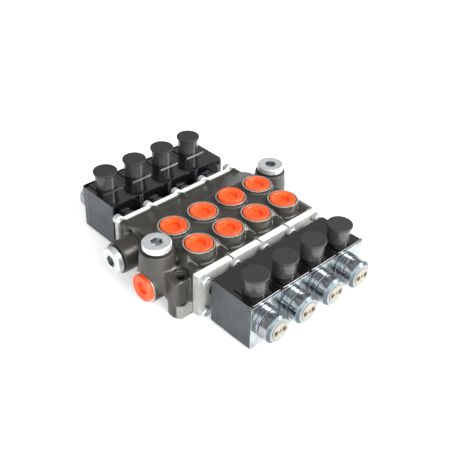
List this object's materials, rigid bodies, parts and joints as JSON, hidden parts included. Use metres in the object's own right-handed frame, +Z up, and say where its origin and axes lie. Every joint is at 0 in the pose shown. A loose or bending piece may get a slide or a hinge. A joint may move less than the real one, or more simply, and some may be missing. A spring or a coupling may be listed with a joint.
{
  "type": "electro-manual directional valve",
  "caption": "Monoblock spool valve with solenoid banks on two sides, capped coil connectors, plugged ports and push-pin manual overrides.",
  "frame": {"origin": "middle of the row of sections and midway between the two banks, at the height of the undersides of the feet", "axes": "+Z up through the work ports; +X along the row of sections, towards the end with the tank port; +Y along the spools, towards the bank away from the two drilled feet"},
  "size_m": [0.2264, 0.292, 0.072],
  "materials": {
    "cast_iron": "matte",
    "zinc": "satin",
    "bright_steel": "satin",
    "coil_steel": "satin",
    "black_plastic": "gloss",
    "black_rubbery_plastic": "matte",
    "orange_plastic": "satin",
    "cream_plastic": "satin",
    "black_rubber": "matte",
    "copper_wire": "satin",
    "contact_metal": "satin"
  },
  "bodies": {
    "valve": {"valve_body": "cast_iron", "section_plates": "zinc", "plate_screws": "zinc", "solenoid_tubes": "zinc", "coil_spacers": "zinc", "coil_nuts": "zinc", "override_plugs": "cream_plastic", "coil_seals": "black_rubber", "coil_windings": "copper_wire", "coil_end_plates": "zinc", "connector_contacts": "contact_metal", "transport_plugs": "orange_plastic", "steel_plugs": "zinc", "plug_seals": "black_rubber", "coil_housing_near_1": "coil_steel", "coil_moulding_near_1": "black_plastic", "coil_housing_near_2": "coil_steel", "coil_moulding_near_2": "black_plastic", "coil_housing_near_3": "coil_steel", "coil_moulding_near_3": "black_plastic", "coil_housing_near_4": "coil_steel", "coil_moulding_near_4": "black_plastic", "coil_housing_far_1": "coil_steel", "coil_moulding_far_1": "black_plastic", "coil_housing_far_2": "coil_steel", "coil_moulding_far_2": "black_plastic", "coil_housing_far_3": "coil_steel", "coil_moulding_far_3": "black_plastic", "coil_housing_far_4": "coil_steel", "coil_moulding_far_4": "black_plastic", "relief_spring": "bright_steel", "centring_spring_near_1": "bright_steel", "centring_spring_near_2": "bright_steel", "centring_spring_near_3": "bright_steel", "centring_spring_near_4": "bright_steel", "centring_spring_far_1": "bright_steel", "centring_spring_far_2": "bright_steel", "centring_spring_far_3": "bright_steel", "centring_spring_far_4": "bright_steel"},
    "spool_group_1": {"spool_1": "bright_steel", "armatures_1": "bright_steel", "override_pins_1": "bright_steel"},
    "spool_group_2": {"spool_2": "bright_steel", "armatures_2": "bright_steel", "override_pins_2": "bright_steel"},
    "spool_group_3": {"spool_3": "bright_steel", "armatures_3": "bright_steel", "override_pins_3": "bright_steel"},
    "spool_group_4": {"spool_4": "bright_steel", "armatures_4": "bright_steel", "override_pins_4": "bright_steel"},
    "cap_near_1": {"connector_cap_near_1": "black_rubbery_plastic"},
    "cap_near_2": {"connector_cap_near_2": "black_rubbery_plastic"},
    "cap_near_3": {"connector_cap_near_3": "black_rubbery_plastic"},
    "cap_near_4": {"connector_cap_near_4": "black_rubbery_plastic"},
    "cap_far_1": {"connector_cap_far_1": "black_rubbery_plastic"},
    "cap_far_2": {"connector_cap_far_2": "black_rubbery_plastic"},
    "cap_far_3": {"connector_cap_far_3": "black_rubbery_plastic"},
    "cap_far_4": {"connector_cap_far_4": "black_rubbery_plastic"},
    "relief": {"relief_poppet": "bright_steel"}
  },
  "joints": [
    {"name": "spool_slide_1", "type": "slide", "parent": "valve", "child": "spool_group_1", "axis": [0, 1, 0], "range_m": [-0.004, 0.004], "stiffness_N_per_m": 8000, "deforming": ["centring_spring_near_1", "centring_spring_far_1"]},
    {"name": "spool_slide_2", "type": "slide", "parent": "valve", "child": "spool_group_2", "axis": [0, 1, 0], "range_m": [-0.004, 0.004], "stiffness_N_per_m": 8000, "deforming": ["centring_spring_near_2", "centring_spring_far_2"]},
    {"name": "spool_slide_3", "type": "slide", "parent": "valve", "child": "spool_group_3", "axis": [0, 1, 0], "range_m": [-0.004, 0.004], "stiffness_N_per_m": 8000, "deforming": ["centring_spring_near_3", "centring_spring_far_3"]},
    {"name": "spool_slide_4", "type": "slide", "parent": "valve", "child": "spool_group_4", "axis": [0, 1, 0], "range_m": [-0.004, 0.004], "stiffness_N_per_m": 8000, "deforming": ["centring_spring_near_4", "centring_spring_far_4"]},
    {"name": "cap_lift_near_1", "type": "slide", "parent": "valve", "child": "cap_near_1", "axis": [0, 0, 1], "range_m": [0, 0.025]},
    {"name": "cap_lift_near_2", "type": "slide", "parent": "valve", "child": "cap_near_2", "axis": [0, 0, 1], "range_m": [0, 0.025]},
    {"name": "cap_lift_near_3", "type": "slide", "parent": "valve", "child": "cap_near_3", "axis": [0, 0, 1], "range_m": [0, 0.025]},
    {"name": "cap_lift_near_4", "type": "slide", "parent": "valve", "child": "cap_near_4", "axis": [0, 0, 1], "range_m": [0, 0.025]},
    {"name": "cap_lift_far_1", "type": "slide", "parent": "valve", "child": "cap_far_1", "axis": [0, 0, 1], "range_m": [0, 0.025]},
    {"name": "cap_lift_far_2", "type": "slide", "parent": "valve", "child": "cap_far_2", "axis": [0, 0, 1], "range_m": [0, 0.025]},
    {"name": "cap_lift_far_3", "type": "slide", "parent": "valve", "child": "cap_far_3", "axis": [0, 0, 1], "range_m": [0, 0.025]},
    {"name": "cap_lift_far_4", "type": "slide", "parent": "valve", "child": "cap_far_4", "axis": [0, 0, 1], "range_m": [0, 0.025]},
    {"name": "relief_lift", "type": "slide", "parent": "valve", "child": "relief", "axis": [0, 0, 1], "range_m": [0, 0.002], "stiffness_N_per_m": 500, "deforming": ["relief_spring"]}
  ]
}
